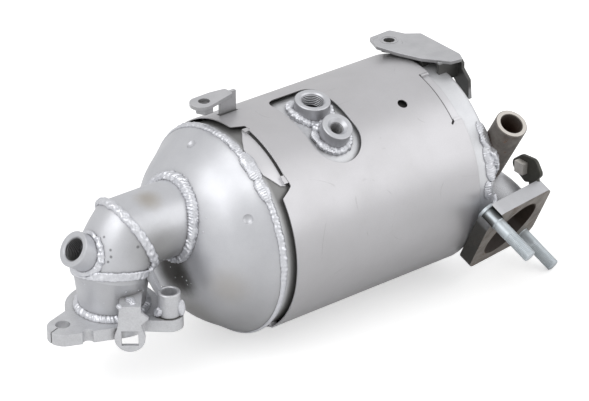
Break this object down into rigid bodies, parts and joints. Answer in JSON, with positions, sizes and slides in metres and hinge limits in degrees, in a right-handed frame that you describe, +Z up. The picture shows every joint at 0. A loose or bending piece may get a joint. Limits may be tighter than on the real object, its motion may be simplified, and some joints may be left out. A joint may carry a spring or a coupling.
{
  "type": "diesel particulate filter",
  "caption": "Diesel particulate filter: steel canister with a slotted heat shield, domed inlet cone, elbow on a bolt flange, and an oblique outlet flange with studs.",
  "frame": {"origin": "centre of the joint face of the inlet flange, on the axis of its bore", "axes": "+X runs along the canister from inlet to outlet, +Z up from the inlet flange into the part, -Y the side with the sensor bosses and the outlet flange."},
  "size_m": [0.4038, 0.2057, 0.1774],
  "materials": {
    "coated_steel": "satin",
    "bare_steel": "dull, rust tinted",
    "zinc_steel": "zinc plated",
    "black_steel": "satin",
    "weld_steel": "rippled bead",
    "substrate": "matte",
    "mat": "matte"
  },
  "bodies": {
    "root": {"canister_shell": "coated_steel", "end_cover": "coated_steel", "inlet_cone": "coated_steel", "neck_pipe": "coated_steel", "inlet_elbow": "coated_steel", "inlet_collar": "coated_steel", "inlet_flange": "coated_steel", "flange_bush": "coated_steel", "hanger_tab": "coated_steel", "elbow_rib": "coated_steel", "elbow_boss": "coated_steel", "sensor_boss": "coated_steel", "pressure_boss": "coated_steel", "heat_shield": "coated_steel", "front_bracket": "coated_steel", "rear_bracket": "coated_steel", "front_weld_nut": "coated_steel", "rear_weld_nut": "coated_steel", "outlet_pipe": "coated_steel", "mount_sleeve": "bare_steel", "outlet_flange": "bare_steel", "outlet_studs": "zinc_steel", "clip_bracket": "black_steel", "clip_bolt": "black_steel", "elbow_boss_weld": "weld_steel", "sensor_boss_weld": "weld_steel", "pressure_boss_weld": "weld_steel", "sleeve_weld": "weld_steel", "seam_weld": "weld_steel", "collar_weld": "weld_steel", "flange_weld": "weld_steel", "mitre_weld": "weld_steel", "neck_weld": "weld_steel", "outlet_weld": "weld_steel", "catalyst_brick": "substrate", "filter_brick": "substrate", "catalyst_mat": "mat", "filter_mat": "mat"}
  },
  "joints": []
}
